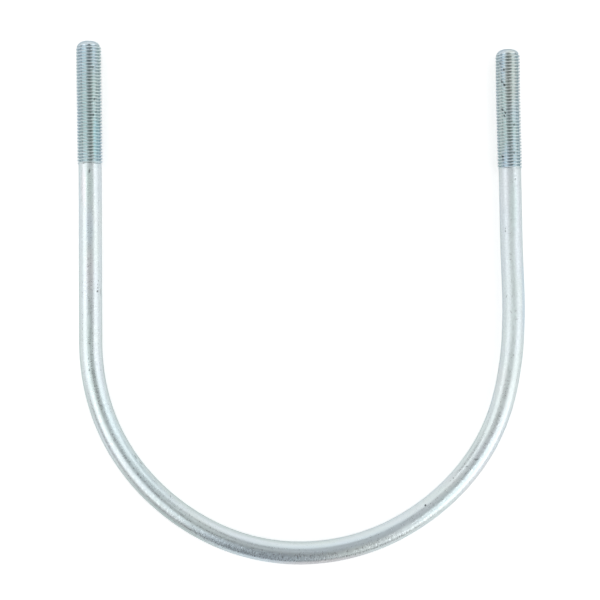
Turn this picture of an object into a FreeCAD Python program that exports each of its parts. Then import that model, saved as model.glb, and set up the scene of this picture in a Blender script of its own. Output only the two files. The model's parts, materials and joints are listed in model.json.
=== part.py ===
import FreeCAD, Part
import math
import os

from FreeCAD import Vector

# A pipe U-bolt: one steel rod, threaded at both ends and bent cold into a U, lying flat.
# The origin is on the axis of the pipe that it holds, in the middle of the rod's thickness.
# +Y runs along the legs to the threaded ends, +X from the left leg to the right one, and
# +Z along the pipe.

# Driving dimensions, in millimetres.
PIPE_DIAMETER = 355.6       # outside the pipe that the bend goes round
PIPE_CLEARANCE = 3.175      # play between the pipe and a rod as thick as the thread
THREAD_DIAMETER = 22.225    # across the thread's crests
THREAD_PITCH = 2.822        # nine turns to the inch
THREAD_LENGTH = 107.95      # from a rod end to the last full turn
LEFT_LEG_LENGTH = 267.0     # from the pipe's axis to the left rod end
RIGHT_LEG_LENGTH = 263.0    # this leg came out of the bending a little shorter
POINT_ROUNDING = 8.0        # radius of the domed edge round each rod end

# The legs are as far apart as the pipe, its play and the rod make them.
leg_centres = PIPE_DIAMETER + PIPE_CLEARANCE + THREAD_DIAMETER
bend_radius = leg_centres / 2

# The thread is rolled, which raises its crests from a rod of its own pitch diameter. So the
# shank is thinner all round by three eighths of the height of a sharp 60 degree thread.
thread_radius = THREAD_DIAMETER / 2
sharp_thread_height = THREAD_PITCH * math.sqrt(3) / 2
shank_radius = thread_radius - 3 / 8 * sharp_thread_height

# The last turn fades into the shank over one pitch.
run_out_length = THREAD_PITCH


def turned_leg(centre_x, length):
    """A straight leg along +Y: shank, thread run-out, thread barrel and domed point."""
    def at(radius, station):
        return Vector(centre_x + radius, station, 0)

    thread_start = length - THREAD_LENGTH
    point_start = length - POINT_ROUNDING
    face_radius = thread_radius - POINT_ROUNDING
    diagonal = POINT_ROUNDING / math.sqrt(2)

    below_point = Part.makePolygon([
        at(0, length),
        at(0, 0),
        at(shank_radius, 0),
        at(shank_radius, thread_start - run_out_length),
        at(thread_radius, thread_start),
        at(thread_radius, point_start),
    ])
    dome = Part.Arc(
        at(thread_radius, point_start),
        at(face_radius + diagonal, point_start + diagonal),
        at(face_radius, length),
    ).toShape()
    end_face = Part.makeLine(at(face_radius, length), at(0, length))

    half_section = Part.Face(Part.Wire(below_point.Edges + [dome, end_face]))
    return half_section.revolve(at(0, 0), Vector(0, 1, 0), 360)


def half_ring():
    """The bend round the pipe, from the foot of the left leg to the foot of the right one."""
    left_foot = Vector(-bend_radius, 0, 0)
    section = Part.Face(Part.Wire(Part.makeCircle(shank_radius, left_foot, Vector(0, 1, 0))))
    return section.revolve(Vector(0, 0, 0), Vector(0, 0, 1), 180)


def u_bolt():
    """The whole rod, with its legs and bend as one smooth solid."""
    left_leg = turned_leg(-bend_radius, LEFT_LEG_LENGTH)
    right_leg = turned_leg(bend_radius, RIGHT_LEG_LENGTH)
    rod = half_ring().fuse([left_leg, right_leg]).removeSplitter()
    return rod.Solids[0]


os.makedirs("parts", exist_ok=True)
rod = u_bolt()
rod.exportStep("parts/u_bolt.step")

box = rod.optimalBoundingBox()
print(f"u_bolt valid {rod.isValid()}, {rod.Volume / 1000:.1f} cm3, {len(rod.Faces)} faces")
print(f"box {box.XLength:.1f} x {box.YLength:.1f} x {box.ZLength:.1f} mm, shank {2 * shank_radius:.2f} mm")
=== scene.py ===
import json
import math
from types import SimpleNamespace

import bpy
import numpy as np
from mathutils import Matrix, Vector


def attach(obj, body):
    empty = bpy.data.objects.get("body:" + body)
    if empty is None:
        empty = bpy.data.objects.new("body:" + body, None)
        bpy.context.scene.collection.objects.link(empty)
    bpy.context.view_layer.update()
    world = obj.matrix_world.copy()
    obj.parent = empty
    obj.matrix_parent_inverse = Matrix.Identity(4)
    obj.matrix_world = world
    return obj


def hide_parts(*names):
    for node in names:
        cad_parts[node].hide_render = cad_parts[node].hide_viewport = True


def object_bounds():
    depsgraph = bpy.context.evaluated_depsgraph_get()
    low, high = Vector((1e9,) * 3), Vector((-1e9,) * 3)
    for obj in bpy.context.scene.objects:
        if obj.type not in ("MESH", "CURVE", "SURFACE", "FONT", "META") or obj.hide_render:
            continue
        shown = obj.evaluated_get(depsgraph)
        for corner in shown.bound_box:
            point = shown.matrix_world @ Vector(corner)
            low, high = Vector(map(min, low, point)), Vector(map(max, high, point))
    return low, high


# The looks of a zinc-plated pipe U-bolt that lies flat: one rod with two rolled threads.
# Lengths are in metres, apart from rows and names that say millimetres.

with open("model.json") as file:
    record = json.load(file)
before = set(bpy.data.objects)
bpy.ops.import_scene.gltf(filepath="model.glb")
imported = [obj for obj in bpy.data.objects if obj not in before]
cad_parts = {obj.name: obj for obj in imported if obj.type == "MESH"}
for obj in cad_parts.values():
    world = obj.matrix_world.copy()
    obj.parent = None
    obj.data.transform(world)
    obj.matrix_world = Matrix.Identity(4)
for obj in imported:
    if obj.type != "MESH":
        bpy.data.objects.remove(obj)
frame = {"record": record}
cad_low, cad_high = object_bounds()

MM = 0.001

# The rod, from the frame's mounts and box.
mounts = {mount["name"]: mount for mount in frame["record"]["mounts"]}
CREST_RADIUS = mounts["left_thread"]["dims"]["r_mm"] * MM
BEND_RADIUS = mounts["stud_pair"]["dims"]["spacing_x_mm"] * MM / 2
LEFT_LEG = cad_high.y


def barrel_ends(name):
    """Where a leg's full thread barrel starts and ends along +Y."""
    middle = mounts[name]["pos_m"][1]
    half = mounts[name]["dims"]["length_mm"] * MM / 2
    return middle - half, middle + half


barrel_start, barrel_end = barrel_ends("left_thread")
POINT_ROUNDING = LEFT_LEG - barrel_end
THREAD_LENGTH = LEFT_LEG - barrel_start
RIGHT_LEG = barrel_ends("right_thread")[1] + POINT_ROUNDING

# The thread: 60 degrees, nine turns to the inch, rolled from a rod of its pitch diameter.
PITCH = 2.822 * MM
SHARP_HEIGHT = PITCH * math.sqrt(3) / 2
THREAD_DEPTH = 0.6134 * PITCH
SHANK_RADIUS = CREST_RADIUS - 3 / 8 * SHARP_HEIGHT
RUN_OUT = PITCH

# Stations are distances along the rod's centre line from the tip of the left leg.
BEND_START = LEFT_LEG
BEND_END = BEND_START + math.pi * BEND_RADIUS
BEND_MIDDLE = (BEND_START + BEND_END) / 2
ROD_LENGTH = BEND_END + RIGHT_LEG

# Where the bent rod strays from straight legs and a true half circle, in millimetres: the
# station of each swell, its offset away from the middle of the U, and how far from that
# station it has sunk to about a third.
SWELLS = [
    (120, -0.5, 75),
    (352, 0.95, 61),
    (521, 0.65, 61),
    (685, -1.0, 64),
    (849, -1.85, 56),
    (886, 2.2, 43),
    (1090, -0.8, 63),
]

# How finely the rod is meshed.
SIDES = 96
SHANK_STEP = 4.5 * MM
LEAST_STEP = 0.02 * MM

# One turn of the thread, as rows at a share of the pitch and of the thread's depth below
# its crest: half of the rounded crest, a flank, half of the rounded root, and back again.
HALF_TURN = [(0.0, 0.0), (0.075, 0.02), (0.15, 0.12), (0.385, 0.87), (0.445, 0.975), (0.5, 1.0)]
THREAD_ROWS = HALF_TURN + [(1 - share, depth) for share, depth in HALF_TURN[-2:0:-1]]

# Where each thread's crest passes the side of the rod away from the middle of the U, as a
# share of the pitch from the start of its zone.
LEFT_CREST = 0.63
RIGHT_CREST = 0.0


def centre_line(stations):
    """Points on the rod's centre line, and the direction away from the middle of the U."""
    angles = math.pi + (np.clip(stations, BEND_START, BEND_END) - BEND_START) / BEND_RADIUS
    outward = np.stack([np.cos(angles), np.sin(angles), np.zeros(len(stations))], axis=1)
    strays = sum(
        offset * MM * np.exp(-(((stations - station * MM) / (length * MM)) ** 2))
        for station, offset, length in SWELLS
    )
    points = (BEND_RADIUS + strays)[:, None] * outward
    points[:, 1] += np.clip(BEND_START - stations, 0, None)
    points[:, 1] += np.clip(stations - BEND_END, 0, None)
    return points, outward


def smooth_step(value):
    """0 below 0, 1 above 1, and a soft rise between them."""
    value = np.clip(value, 0, 1)
    return value * value * (3 - 2 * value)


def thread_radius(from_tip, groove_share):
    """The radius at a distance from the tip, for a row at that share of the thread's depth."""
    ridge = CREST_RADIUS - THREAD_DEPTH * groove_share
    kept = 1 - smooth_step((from_tip - THREAD_LENGTH) / RUN_OUT)
    radius = SHANK_RADIUS + (ridge - SHANK_RADIUS) * kept
    below_dome = np.clip(POINT_ROUNDING - from_tip, 0, POINT_ROUNDING)
    dome = CREST_RADIUS - POINT_ROUNDING + np.sqrt(POINT_ROUNDING**2 - below_dome**2)
    return np.minimum(radius, dome)


class RodMesh:
    """Gathers the rod's vertices, as station, angle and radius, and its faces. Angles turn
    right-handed about the rod's line, from the side away from the middle of the U."""

    def __init__(self):
        self.stations, self.angles, self.radii, self.faces = [], [], [], []

    def add(self, station, side, radius):
        self.stations.append(station)
        self.angles.append(math.tau * side / SIDES)
        self.radii.append(radius)
        return len(self.stations) - 1

    def ring(self, station, radius):
        return [self.add(station, side, radius) for side in range(SIDES)]

    def face(self, corners):
        """Adds a face, counter-clockwise as seen from outside the rod, and without the corners
        that fall together at a thread's ends."""
        kept = [c for k, c in enumerate(corners) if c != corners[k - 1]]
        if len(set(kept)) >= 3:
            self.faces.append(kept)

    def bridge(self, first, second):
        """Joins two rings with a band of faces."""
        for side in range(SIDES):
            after = (side + 1) % SIDES
            self.face([first[side], first[after], second[after], second[side]])

    def cap(self, ring, station, facing_start):
        """Closes an end with a fan round a centre point."""
        centre = self.add(station, 0, 0)
        for side in range(SIDES):
            after = (side + 1) % SIDES
            pair = [ring[after], ring[side]] if facing_start else [ring[side], ring[after]]
            self.face([centre] + pair)

    def thread(self, start_ring, end_ring, start, end, crest, from_tip):
        """Ridges between two rings. Each row follows the right-hand helix, so that a turn
        later it has moved on by one pitch, and rows past either ring end on it."""
        turns = math.ceil((end - start) / PITCH) + 1
        rows = [
            (turn + crest + share, depth)
            for turn in range(-2, turns + 1)
            for share, depth in THREAD_ROWS
        ]
        grid = []
        for position, depth in rows:
            row = []
            for side in range(SIDES):
                station = start + PITCH * (position + side / SIDES)
                if station < start + LEAST_STEP:
                    row.append(start_ring[side])
                elif station > end - LEAST_STEP:
                    row.append(end_ring[side])
                else:
                    row.append(self.add(station, side, float(thread_radius(from_tip(station), depth))))
            grid.append(row)

        last_row = len(grid) - 1
        for low in range(last_row):
            band = list(zip(grid[low], grid[low + 1]))
            # Round the rod a row meets the one that lies a turn further on.
            turned = min(low + len(THREAD_ROWS), last_row)
            turned_next = min(low + 1 + len(THREAD_ROWS), last_row)
            band.append((grid[turned][0], grid[turned_next][0]))
            for (near, far), (near_after, far_after) in zip(band, band[1:]):
                self.face([near, near_after, far_after, far])

    def to_object(self, name):
        """Bends the rod along its centre line and makes it an object."""
        stations = np.array(self.stations)
        angles = np.array(self.angles)
        radii = np.array(self.radii)
        points, outward = centre_line(stations)
        points = points + outward * (radii * np.cos(angles))[:, None]
        points[:, 2] -= radii * np.sin(angles)

        mesh = bpy.data.meshes.new(name)
        mesh.from_pydata(points.tolist(), [], self.faces)
        mesh.shade_smooth()

        # The rod as if it were still straight, for patterns that were there before the bend,
        # and the direction round it, for the gloss of its drawing lines.
        straight = np.stack([radii * np.cos(angles), radii * np.sin(angles), stations], axis=1)
        around = -np.sin(angles)[:, None] * outward
        around[:, 2] -= np.cos(angles)
        for label, vectors in (("straight_rod", straight), ("around_rod", around)):
            layer = mesh.attributes.new(label, "FLOAT_VECTOR", "POINT")
            layer.data.foreach_set("vector", vectors.astype(np.float32).ravel())
        rod = bpy.data.objects.new(name, mesh)
        bpy.context.scene.collection.objects.link(rod)
        return rod


def build_rod():
    """The whole rod: a domed tip and a thread on each leg, and the bent shank between them."""
    rod = RodMesh()
    tip_radius = CREST_RADIUS - POINT_ROUNDING
    shank_start = THREAD_LENGTH + RUN_OUT
    shank_end = ROD_LENGTH - shank_start

    left_tip = rod.ring(0, tip_radius)
    steps = math.ceil((shank_end - shank_start) / SHANK_STEP)
    shank_stations = np.linspace(shank_start, shank_end, steps + 1)
    shank = [rod.ring(station, SHANK_RADIUS) for station in shank_stations]
    right_tip = rod.ring(ROD_LENGTH, tip_radius)

    rod.cap(left_tip, 0, facing_start=True)
    rod.thread(left_tip, shank[0], 0, shank_start, LEFT_CREST, lambda station: station)
    for first, second in zip(shank, shank[1:]):
        rod.bridge(first, second)
    rod.thread(
        shank[-1], right_tip, shank_end, ROD_LENGTH, RIGHT_CREST, lambda station: ROD_LENGTH - station
    )
    rod.cap(right_tip, ROD_LENGTH, facing_start=False)
    return rod.to_object("u_bolt_rod")


class Nodes:
    """Short calls for building a material's nodes."""

    def __init__(self, tree):
        self.tree = tree
        tree.nodes.clear()

    def add(self, kind, inputs=(), **settings):
        """A new node with its settings, and what goes into its inputs."""
        node = self.tree.nodes.new(kind)
        for name, value in settings.items():
            setattr(node, name, value)
        for name, value in dict(inputs).items():
            self.feed(node, name, value)
        return node

    def feed(self, node, name, value):
        """Links another node's output to an input, or sets the input to a plain value."""
        socket = node.inputs[name]
        if isinstance(value, bpy.types.NodeSocket):
            self.tree.links.new(value, socket)
        else:
            socket.default_value = value

    def attribute(self, name):
        """A value that the mesh keeps at each vertex."""
        return self.add("ShaderNodeAttribute", attribute_name=name).outputs["Vector"]

    def noise(self, vector, scale, detail, roughness):
        node = self.add("ShaderNodeTexNoise", {
            "Vector": vector, "Scale": scale, "Detail": detail, "Roughness": roughness,
        })
        return node.outputs["Fac"]

    def stretched(self, vector, scale):
        """A vector with each axis multiplied by its own scale."""
        node = self.add("ShaderNodeVectorMath", {0: vector, 1: scale}, operation="MULTIPLY")
        return node.outputs["Vector"]

    def length(self, vector):
        return self.add("ShaderNodeVectorMath", {0: vector}, operation="LENGTH").outputs["Value"]

    def math(self, operation, first, second=0.0):
        """Arithmetic on outputs or plain numbers."""
        node = self.add("ShaderNodeMath", {0: first, 1: second}, operation=operation)
        return node.outputs["Value"]

    def plus(self, first, second):
        return self.math("ADD", first, second)

    def minus(self, first, second):
        return self.math("SUBTRACT", first, second)

    def times(self, first, second):
        return self.math("MULTIPLY", first, second)

    def larger(self, first, second):
        return self.math("MAXIMUM", first, second)

    def ramp(self, value, low, high, to_low=0.0, to_high=1.0):
        """Goes softly from to_low, where the value is low, to to_high, where it is high."""
        node = self.add("ShaderNodeMapRange", {
            "Value": value, "From Min": low, "From Max": high, "To Min": to_low, "To Max": to_high,
        }, interpolation_type="SMOOTHSTEP")
        return node.outputs["Result"]

    def lerp(self, share, first, second):
        """A number between two others."""
        node = self.add("ShaderNodeMix", {"Factor": share, "A": first, "B": second})
        return node.outputs["Result"]

    def blend(self, share, first, second):
        """A colour between two others. The node's colour sockets are known by number."""
        node = self.add("ShaderNodeMix", {0: share, 6: first, 7: second}, data_type="RGBA")
        return node.outputs[2]


# Marks on the plating: station from the left tip, place across the rod as seen from above
# from -1, the inside of the U, to 1, then length, width, turn from the rod's line in degrees
# and darkness. All lengths are in millimetres.
MARKS = [
    (116.9, 0.05, 4.6, 1.5, 6, 0.8),
    (213.4, -0.69, 2.0, 0.8, 0, 0.5),
    (216.8, -0.63, 1.8, 1.0, 20, 0.55),
    (219.8, -0.62, 1.8, 1.1, 20, 0.6),
    (222.8, -0.61, 2.4, 1.7, 60, 0.85),
    (223.5, -0.87, 8.0, 0.9, 2, 0.5),
    (281.9, 0.21, 2.0, 1.0, 0, 0.4),
    (287.0, 0.26, 1.8, 1.0, 0, 0.4),
    (291.8, 0.25, 2.2, 1.6, 40, 0.6),
    (379.8, -0.14, 2.2, 2.6, 0, 0.4),
    (379.6, -0.80, 5.0, 1.2, 4, 0.6),
    (387.1, -0.84, 5.0, 1.0, -8, 0.6),
    (428.0, -0.72, 5.0, 0.8, 60, 0.5),
    (429.4, 0.65, 30.0, 1.0, 0, 0.35),
    (683.3, -0.57, 2.5, 1.9, -50, 1.0),
    (716.3, -0.71, 2.2, 1.0, 10, 0.4),
    (720.0, -0.69, 2.2, 1.4, -40, 0.5),
    (731.7, -0.18, 6.5, 1.2, 4, 0.4),
    (736.4, -0.47, 3.0, 1.4, 50, 0.45),
    (746.8, -0.19, 4.2, 1.8, 50, 0.55),
    (840.5, 0.75, 7.0, 0.9, 0, 0.4),
    (881.3, 0.07, 3.6, 0.8, 75, 0.3),
    (888.3, -0.47, 3.5, 0.8, -35, 0.35),
    (902.3, -0.78, 4.0, 0.9, 30, 0.4),
    (961.4, -0.70, 1.8, 1.2, 0, 0.7),
    (963.8, -0.70, 2.2, 1.0, -10, 0.5),
    (1008.5, 0.24, 2.0, 1.4, 0, 0.45),
    (24.6, -0.39, 2.2, 1.2, 90, 0.8),
    (52.6, -0.49, 2.0, 1.6, 0, 0.95),
    (64.0, -0.61, 2.0, 1.4, 0, 0.9),
    (67.0, -0.37, 2.0, 1.4, 0, 0.9),
    (1026.3, -0.81, 2.2, 1.8, 0, 0.8),
    (1029.6, -0.81, 2.6, 2.2, 0, 1.0),
    (1032.6, 0.21, 2.2, 1.6, 0, 0.8),
    (1058.2, 0.28, 2.4, 2.0, 0, 0.95),
    (1066.5, -0.59, 2.2, 1.8, 0, 0.9),
    (1069.3, -0.52, 2.2, 1.8, 0, 0.9),
    (1072.3, -0.72, 2.4, 2.0, 0, 0.95),
    (1094.6, -0.55, 2.6, 2.0, 0, 1.0),
    (1097.8, -0.71, 2.4, 1.8, 0, 0.9),
    (1108.5, -0.58, 2.4, 2.0, 0, 0.95),
    (1114.9, -0.81, 2.4, 1.8, 0, 0.9),
]
MARK_COLOUR = (0.10, 0.12, 0.13, 1)
MARK_DEPTH_MM = 2

# Where the plating is brighter or duller, or faintly coloured by the clear film over it, and
# where light or shade is painted on it: station and place across as above, length along the rod
# in millimetres, width as a share of the rod's radius, colour and strength. The painted shade is
# a thin dark line and darker rims on the left leg and bend; the right thread's pale rims are a
# painted lighter reflection.
FILM_BLUE = (0.66, 0.80, 0.92, 1)
FILM_GREEN = (0.68, 0.83, 0.80, 1)
FILM_TEAL = (0.70, 0.84, 0.87, 1)
# A greyish brown, used as painted shade on the outer rim at the bottom of the bend.
RIM_SHADE_BROWN = (0.70, 0.68, 0.70, 1)
FILM_PINK = (0.80, 0.80, 0.83, 1)
FILM_BRIGHT = (0.87, 0.98, 0.98, 1)
# Duller grey: a broad patch on the left leg, and painted shade on the rims of the left leg and bend,
# where their reflections are darker.
DULL_PATCH_AND_RIM_SHADE = (0.60, 0.68, 0.67, 1)
# A painted dark line: a gap in the reflection near the bend's outer edge, painted as darker colour.
PAINTED_DARK_LINE = (0.45, 0.53, 0.54, 1)
THREAD_DULL = (0.56, 0.66, 0.67, 1)
THREAD_BLUE = (0.52, 0.73, 0.80, 1)
# A paler colour, used as a painted lighter reflection on both rims of the right thread.
THREAD_RIM_SHEEN = (0.76, 0.83, 0.82, 1)
THREAD_PINK = (0.70, 0.74, 0.71, 1)
FILM_AND_PAINTED_LIGHT = [
    (58, 0.25, 120, 1.1, THREAD_DULL, 0.8),
    (88, -0.62, 50, 0.7, THREAD_BLUE, 0.5),
    (130, 0.05, 40, 0.8, FILM_GREEN, 0.6),
    (130, 0.55, 40, 0.5, FILM_PINK, 0.8),
    (166, 0.05, 40, 0.8, FILM_BLUE, 0.4),
    (205, 0.05, 44, 0.8, FILM_PINK, 0.5),
    (300, 0.05, 150, 0.8, FILM_GREEN, 0.5),
    (318, 0.30, 60, 1.5, DULL_PATCH_AND_RIM_SHADE, 0.5),
    (370, -0.45, 150, 1.1, FILM_TEAL, 0.7),
    (430, 0.00, 150, 0.8, FILM_TEAL, 0.5),
    # Painted shade: a darker rim along the outside of the bend.
    (430, 0.95, 140, 0.5, DULL_PATCH_AND_RIM_SHADE, 0.9),
    # Painted shade: a thin dark line near the bend's outer edge, where its reflection is darker.
    (440, 0.79, 120, 0.20, PAINTED_DARK_LINE, 0.6),
    # Painted shade: darker rims along the left leg's outside and along the inside from leg to bend.
    (290, 0.97, 230, 0.35, DULL_PATCH_AND_RIM_SHADE, 0.4),
    (430, -0.97, 460, 0.4, DULL_PATCH_AND_RIM_SHADE, 0.7),
    (455, -0.15, 90, 0.6, FILM_BRIGHT, 0.5),
    (518, 0.40, 140, 1.1, FILM_BLUE, 0.6),
    # Painted shade: a darker rim at the bottom of the bend's outside.
    (580, 0.90, 90, 0.7, RIM_SHADE_BROWN, 0.8),
    (590, -0.35, 230, 0.9, FILM_BLUE, 0.35),
    (705, -0.45, 80, 0.8, FILM_BRIGHT, 0.15),
    (712, 0.10, 120, 0.8, FILM_TEAL, 0.6),
    (735, 0.85, 60, 0.5, FILM_PINK, 0.6),
    (900, 0.80, 80, 0.5, FILM_BLUE, 0.5),
    (900, -0.20, 240, 0.6, FILM_BRIGHT, 0.9),
    (985, 0.05, 60, 0.8, FILM_GREEN, 0.45),
    (1100, 0.10, 70, 1.5, THREAD_PINK, 0.7),
    # Painted lighter reflection on both rims of the right thread.
    (1072, 0.90, 120, 0.35, THREAD_RIM_SHEEN, 0.8),
    (1072, -0.90, 120, 0.30, THREAD_RIM_SHEEN, 0.8),
]

# The metal's colours, between which its hue drifts. The grooves' colours are darker than the crests'
# as painted shade in the thread's recesses.
SHANK_GREEN = (0.74, 0.82, 0.82, 1)
SHANK_BLUE = (0.74, 0.81, 0.85, 1)
SHANK_CLOUD = (0.78, 0.80, 0.82, 1)
CREST_GREEN = (0.68, 0.78, 0.77, 1)
CREST_BLUE = (0.68, 0.78, 0.84, 1)
# Painted shade: the grooves are darker than the crests.
SHADED_GROOVE_GREEN = (0.62, 0.71, 0.70, 1)
SHADED_GROOVE_BLUE = (0.62, 0.71, 0.77, 1)
SHANK_EDGE = (0.82, 0.87, 0.87, 1)
THREAD_EDGE = (0.45, 0.55, 0.60, 1)

# Patterns in the metal: how many features a metre holds across and along the rod, then the
# noise's detail and roughness.
DRAWN_LINES = ((900, 900, 14), 3.0, 0.6)
CLOUDS = ((22, 22, 22), 2.0, 0.5)
HUES = ((60, 60, 16), 2.0, 0.5)
ETCHED_GRAIN = ((350, 350, 900), 2.0, 0.6)
FINE_GRAIN = ((2600, 2600, 2600), 1.0, 0.5)
SPECKLES = ((700, 700, 700), 1.0, 0.5)

# Where the surface changes along the rod: the bend's grain is full up to one distance from its
# middle and gone at another, and the right leg's duller surface begins and is full at stations.
BEND_FULL, BEND_FADED = 0.05, 0.22
DULL_LEG_START, DULL_LEG_FULL = 0.72, 0.92

# Roughness: its range along the drawing lines, its values in the threads, and what the duller
# leg and the marks add.
SATIN_SMOOTH, SATIN_ROUGH = 0.29, 0.36
CREST_ROUGHNESS, GROOVE_ROUGHNESS = 0.45, 0.12
DULL_LEG_ADDED = 0.08
MARK_ADDED = 0.25

# How much the etched grain changes the roughness, and the least that it leaves.
LEG_PATCHES, DULL_LEG_PATCHES = 0.44, 0.6
BEND_PATCHES, STRETCHED_PATCHES = 0.25, 0.75
LEAST_ROUGHNESS, STRETCHED_LEAST = 0.25, 0.12

# How much more the gloss is blurred around the rod than along it, from 0 to 1.
BLUR_AROUND_ROD = 0.45

# What the mottling's darkest flecks leave of the colour, and the heights of the relief as
# shares of its depth.
MOTTLING, DULL_LEG_MOTTLING = 0.975, 0.91
ETCH_HEIGHT, STRETCHED_ETCH_HEIGHT = 0.3, 2.5
GRAIN_HEIGHT, DRAWN_HEIGHT = 0.2, 0.2
RELIEF_DEPTH = 0.1 * MM


def mark_mask(nodes, rod_vector, edge_noise, station, across, length, width, turn):
    """1 inside a small scratch or pit and 0 outside, with a ragged edge."""
    angle = -math.acos(across)
    centre = Vector((SHANK_RADIUS * math.cos(angle), SHANK_RADIUS * math.sin(angle), station * MM))
    along = Vector((0, 0, 1))
    around = Vector((-math.sin(angle), math.cos(angle), 0))
    turn = math.radians(turn)
    first = along * math.cos(turn) + around * math.sin(turn)
    second = around * math.cos(turn) - along * math.sin(turn)
    axes = Matrix((first, second, first.cross(second))).transposed()
    placed = nodes.add("ShaderNodeMapping", {
        "Vector": rod_vector,
        "Location": centre,
        "Rotation": axes.to_euler(),
        "Scale": (length / 2 * MM, width / 2 * MM, MARK_DEPTH_MM * MM),
    }, vector_type="TEXTURE")
    ragged = nodes.plus(nodes.length(placed.outputs["Vector"]), edge_noise)
    return nodes.ramp(ragged, 0.55, 1.15, 1.0, 0.0)


def patch_mask(nodes, flat_vector, station, across, length, width):
    """1 in the middle of one of the patches, tinted, brighter, duller or painted with shade or a
    lighter reflection, and soft down to 0 at its edge.
    """
    placed = nodes.add("ShaderNodeMapping", {
        "Vector": flat_vector,
        "Location": (across * SHANK_RADIUS, 0, station * MM),
        "Scale": (width / 2 * SHANK_RADIUS, 1, length / 2 * MM),
    }, vector_type="TEXTURE")
    return nodes.ramp(nodes.length(placed.outputs["Vector"]), 0.4, 1.2, 1.0, 0.0)


def rod_zones(nodes, rod_vector):
    """How much a point belongs to a thread and its groove, to the bend and the half of it that
    was stretched, and to the duller right leg."""
    split = nodes.add("ShaderNodeSeparateXYZ", {0: rod_vector})
    outward, station = split.outputs["X"], split.outputs["Z"]
    from_axis = nodes.length(nodes.stretched(rod_vector, (1, 1, 0)))
    groove_start = CREST_RADIUS - 0.1 * THREAD_DEPTH
    groove_full = CREST_RADIUS - 0.5 * THREAD_DEPTH
    from_end = nodes.math("MINIMUM", station, nodes.minus(ROD_LENGTH, station))
    from_middle = nodes.math("ABSOLUTE", nodes.minus(station, BEND_MIDDLE))
    bend = nodes.ramp(from_middle, BEND_FULL, BEND_FADED, 1.0, 0.0)
    outer_half = nodes.ramp(outward, -0.05 * SHANK_RADIUS, 0.45 * SHANK_RADIUS)
    return SimpleNamespace(
        thread=nodes.ramp(from_end, THREAD_LENGTH, THREAD_LENGTH + RUN_OUT, 1.0, 0.0),
        groove=nodes.ramp(from_axis, groove_start, groove_full),
        bend=bend,
        stretched=nodes.times(bend, outer_half),
        dull_leg=nodes.ramp(station, DULL_LEG_START, DULL_LEG_FULL),
    )


def metal_patterns(nodes, rod_vector):
    """The metal's patterns, as they lay on the rod while it was straight."""

    def pattern(scale, detail, roughness):
        return nodes.noise(nodes.stretched(rod_vector, scale), 1.0, detail, roughness)

    return SimpleNamespace(
        drawn=pattern(*DRAWN_LINES),
        cloud=pattern(*CLOUDS),
        hue=pattern(*HUES),
        etch=pattern(*ETCHED_GRAIN),
        grain=pattern(*FINE_GRAIN),
        speckle=pattern(*SPECKLES),
    )


def metal_colour(nodes, rod_vector, zones, patterns):
    """Cool grey, with the faint green, blue and pink of its clear passivation, and mottled.
    Painted shade darkens the thread's grooves, a thin line in the bend and some rims, and a
    painted lighter reflection lies on the right thread's rims.
    """
    bluish = nodes.ramp(patterns.hue, 0.35, 0.65)
    clouded = nodes.ramp(patterns.cloud, 0.52, 0.7, 0.0, 0.35)
    shank = nodes.blend(clouded, nodes.blend(bluish, SHANK_GREEN, SHANK_BLUE), SHANK_CLOUD)
    crests = nodes.blend(bluish, CREST_GREEN, CREST_BLUE)
    # The grooves take darker colours than the crests: painted shade in the thread's recesses.
    grooves = nodes.blend(bluish, SHADED_GROOVE_GREEN, SHADED_GROOVE_BLUE)
    colour = nodes.blend(zones.thread, shank, nodes.blend(zones.groove, crests, grooves))

    flat_vector = nodes.stretched(rod_vector, (1, 0, 1))
    # Patches of film tint and of brighter and duller plating, with painted shade and a painted lighter
    # reflection, over the metal's colour.
    for *place, tint, strength in FILM_AND_PAINTED_LIGHT:
        covered = nodes.times(patch_mask(nodes, flat_vector, *place), strength)
        colour = nodes.blend(covered, colour, tint)

    darkest = nodes.lerp(zones.dull_leg, MOTTLING, DULL_LEG_MOTTLING)
    mottling = nodes.ramp(patterns.speckle, 0.3, 0.7, darkest, 1.0)
    scaled = nodes.add("ShaderNodeVectorMath", {0: colour, "Scale": mottling}, operation="SCALE")
    return scaled.outputs["Vector"]


def mark_darkness(nodes, rod_vector, patterns):
    """How dark the small marks and pits make a point."""
    edge_noise = nodes.times(nodes.minus(patterns.etch, 0.5), 0.9)
    marked = 0.0
    for *place, darkness in MARKS:
        mask = mark_mask(nodes, rod_vector, edge_noise, *place)
        marked = nodes.larger(nodes.times(mask, darkness), marked)
    return marked


def metal_roughness(nodes, zones, patterns, marked):
    """Satin, patchy where it is etched. The thread's crests are dull from the rolls, and its
    grooves bright."""
    roughness = nodes.ramp(patterns.drawn, 0.3, 0.7, SATIN_SMOOTH, SATIN_ROUGH)
    roughness = nodes.plus(roughness, nodes.times(zones.dull_leg, DULL_LEG_ADDED))
    leg_patches = nodes.lerp(zones.dull_leg, LEG_PATCHES, DULL_LEG_PATCHES)
    patches = nodes.lerp(zones.bend, leg_patches, BEND_PATCHES)
    patches = nodes.lerp(zones.stretched, patches, STRETCHED_PATCHES)
    roughness = nodes.plus(roughness, nodes.times(nodes.minus(patterns.etch, 0.5), patches))
    least = nodes.lerp(zones.stretched, LEAST_ROUGHNESS, STRETCHED_LEAST)
    roughness = nodes.larger(roughness, least)
    threads = nodes.lerp(zones.groove, CREST_ROUGHNESS, GROOVE_ROUGHNESS)
    roughness = nodes.lerp(zones.thread, roughness, threads)
    return nodes.plus(roughness, nodes.times(marked, MARK_ADDED))


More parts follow.
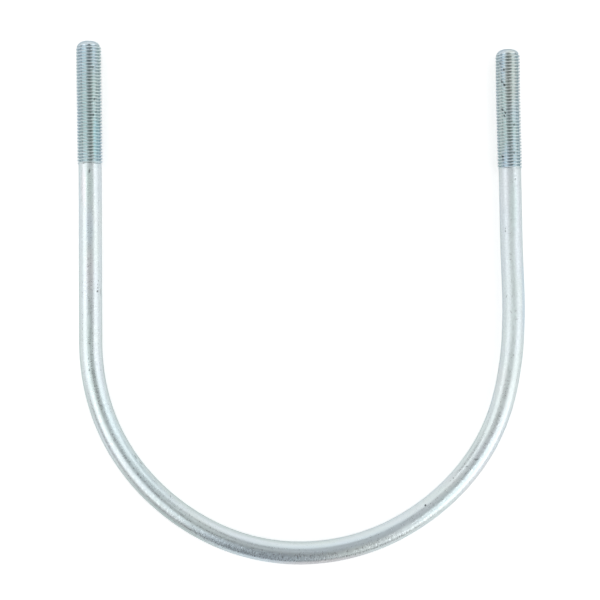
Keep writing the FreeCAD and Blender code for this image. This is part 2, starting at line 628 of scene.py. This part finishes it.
def metal_relief(nodes, zones, patterns):
    """Drawing lines and etched grain, coarsest where the bend stretched the rod."""
    etch_height = nodes.ramp(zones.stretched, 0, 1, ETCH_HEIGHT, STRETCHED_ETCH_HEIGHT)
    height = nodes.times(patterns.etch, etch_height)
    height = nodes.plus(height, nodes.times(patterns.grain, GRAIN_HEIGHT))
    height = nodes.plus(height, nodes.times(patterns.drawn, DRAWN_HEIGHT))
    bump = nodes.add("ShaderNodeBump", {"Strength": 1.0, "Distance": RELIEF_DEPTH, "Height": height})
    return bump.outputs["Normal"]


def zinc_plating():
    """Bright zinc over drawn steel: satin on the shank, etched in the bend, blue in the threads.
    The lines that drawing left blur its gloss most around the rod."""
    material = bpy.data.materials.new("zinc_plated_steel")
    material.use_nodes = True
    nodes = Nodes(material.node_tree)
    rod_vector = nodes.attribute("straight_rod")
    zones = rod_zones(nodes, rod_vector)
    patterns = metal_patterns(nodes, rod_vector)
    marked = mark_darkness(nodes, rod_vector, patterns)
    metal = metal_colour(nodes, rod_vector, zones, patterns)
    shader = nodes.add("ShaderNodeBsdfPrincipled", {
        "Base Color": nodes.blend(marked, metal, MARK_COLOUR),
        "Metallic": 1.0,
        "Roughness": metal_roughness(nodes, zones, patterns, marked),
        "Anisotropic": nodes.ramp(zones.thread, 0, 1, BLUR_AROUND_ROD, 0.0),
        "Specular Tint": nodes.blend(zones.thread, SHANK_EDGE, THREAD_EDGE),
        "Tangent": nodes.attribute("around_rod"),
        "Normal": metal_relief(nodes, zones, patterns),
    })
    nodes.add("ShaderNodeOutputMaterial", {"Surface": shader.outputs["BSDF"]})
    return material


# The floor: half its width and its colour, how far from the pipe's axis the lamps light it well
# and where they no longer reach, its glow for the camera at both, and its glow in reflections.
FLOOR_HALF = 6.0
FLOOR_COLOUR = (0.85, 0.85, 0.85, 1)
LIT_TO, DARK_FROM = 0.6, 2.0
LIT_GLOW, DARK_GLOW = 0.45, 1.0
MIRRORED_GLOW = 0.2

WHITE = (1, 1, 1, 1)
SURROUNDING_GREY = (0.1, 0.1, 0.1, 1)

# Soft lamps, all at one distance from the pipe's axis: azimuth from +X and angle down from
# overhead in degrees, then width, height and radiance.
LAMP_DISTANCE = 1.5
LAMPS = {
    "panel_right": (347, 57, 2.43, 1.56, 1.1),
    "panel_right_top": (325, 26, 0.44, 0.31, 1.98),
    "panel_right_low": (312, 64, 1.89, 0.43, 0.8),
    "panel_left": (219, 44.5, 1.0, 1.55, 1.19),
    "panel_left_low": (172, 61, 1.43, 1.24, 1.26),
    "panel_front": (265, 62, 1.6, 1.2, 0.14),
    "panel_back": (86, 71, 2.94, 1.81, 0.89),
    "panel_above": (77, 14, 2.88, 0.64, 0.53),
    "panel_left_back": (136, 55, 0.3, 0.9, 0.6),
    "panel_right_back": (33, 68, 0.3, 0.9, 0.45),
    "panel_front_top": (253, 19, 0.5, 0.45, 0.18),
}


def floor_material():
    """A matte floor that keeps the bolt's shadow. To the camera it also glows, and more where
    it lies beyond the lamps' reach, so that it is white all over."""
    material = bpy.data.materials.new("pale_floor")
    material.use_nodes = True
    nodes = Nodes(material.node_tree)
    path = nodes.add("ShaderNodeLightPath")
    matte = nodes.add("ShaderNodeBsdfDiffuse", {"Color": FLOOR_COLOUR})
    seen_through = nodes.larger(path.outputs["Is Camera Ray"], path.outputs["Is Transmission Ray"])
    from_middle = nodes.length(nodes.add("ShaderNodeTexCoord").outputs["Object"])
    seen = nodes.times(seen_through, nodes.ramp(from_middle, LIT_TO, DARK_FROM, LIT_GLOW, DARK_GLOW))
    mirrored = nodes.times(path.outputs["Is Glossy Ray"], MIRRORED_GLOW)
    glow = nodes.add("ShaderNodeEmission", {"Color": WHITE, "Strength": nodes.larger(seen, mirrored)})
    both = nodes.add("ShaderNodeAddShader", {0: matte.outputs["BSDF"], 1: glow.outputs["Emission"]})
    nodes.add("ShaderNodeOutputMaterial", {"Surface": both.outputs["Shader"]})
    return material


def build_floor():
    """A plain square floor at the height of the bolt's lowest point."""
    sides = [(-1, -1), (1, -1), (1, 1), (-1, 1)]
    corners = [(x * FLOOR_HALF, y * FLOOR_HALF, cad_low.z) for x, y in sides]
    mesh = bpy.data.meshes.new("floor")
    mesh.from_pydata(corners, [], [(0, 1, 2, 3)])
    mesh.materials.append(floor_material())
    floor = bpy.data.objects.new("floor", mesh)
    bpy.context.scene.collection.objects.link(floor)


def build_world():
    """Soft grey light from all round, and white where the camera looks past the floor."""
    world = bpy.data.worlds.new("studio")
    bpy.context.scene.world = world
    world.use_nodes = True
    nodes = Nodes(world.node_tree)
    path = nodes.add("ShaderNodeLightPath")
    colour = nodes.blend(path.outputs["Is Camera Ray"], SURROUNDING_GREY, WHITE)
    background = nodes.add("ShaderNodeBackground", {"Color": colour, "Strength": 1.0})
    nodes.add("ShaderNodeOutputWorld", {"Surface": background.outputs["Background"]})


def soft_panel(name, azimuth, polar, width, height, radiance):
    """A lamp that faces the bolt. Its power follows from its size and radiance."""
    azimuth, polar = math.radians(azimuth), math.radians(polar)
    sideways = math.sin(polar)
    away = Vector((math.cos(azimuth) * sideways, math.sin(azimuth) * sideways, math.cos(polar)))
    lamp = bpy.data.lights.new(name, "AREA")
    lamp.shape = "RECTANGLE"
    lamp.size = width
    lamp.size_y = height
    lamp.energy = radiance * math.pi * width * height
    panel = bpy.data.objects.new(name, lamp)
    bpy.context.scene.collection.objects.link(panel)
    panel.location = away * LAMP_DISTANCE
    panel.rotation_euler = away.to_track_quat("Z", "Y").to_euler()


def build_camera():
    """A pinhole camera fitted to the photograph: how far the bolt is turned, shifted and away."""
    turned_about_y, turned_about_x, turned_about_z = 6.26, -1.83, 0.68
    shift = Vector((4.4 * MM, -35.2 * MM, -1435.8 * MM))
    focal_pixels, picture_pixels = 1600, 600
    to_camera = (
        Matrix.Rotation(math.radians(turned_about_z), 3, "Z")
        @ Matrix.Rotation(math.radians(turned_about_x), 3, "X")
        @ Matrix.Rotation(math.radians(turned_about_y), 3, "Y")
    )
    data = bpy.data.cameras.new("camera")
    data.sensor_width = 36
    data.lens = data.sensor_width * focal_pixels / picture_pixels
    camera = bpy.data.objects.new("camera", data)
    bpy.context.scene.collection.objects.link(camera)
    to_world = to_camera.transposed()
    camera.matrix_world = Matrix.Translation(to_world @ -shift) @ to_world.to_4x4()
    bpy.context.scene.camera = camera


build_camera()
rod = build_rod()
rod.data.materials.append(zinc_plating())
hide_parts("u_bolt")
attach(rod, "root")

build_floor()
build_world()
for name, panel in LAMPS.items():
    soft_panel(name, *panel)
bpy.context.scene.view_settings.view_transform = "Standard"
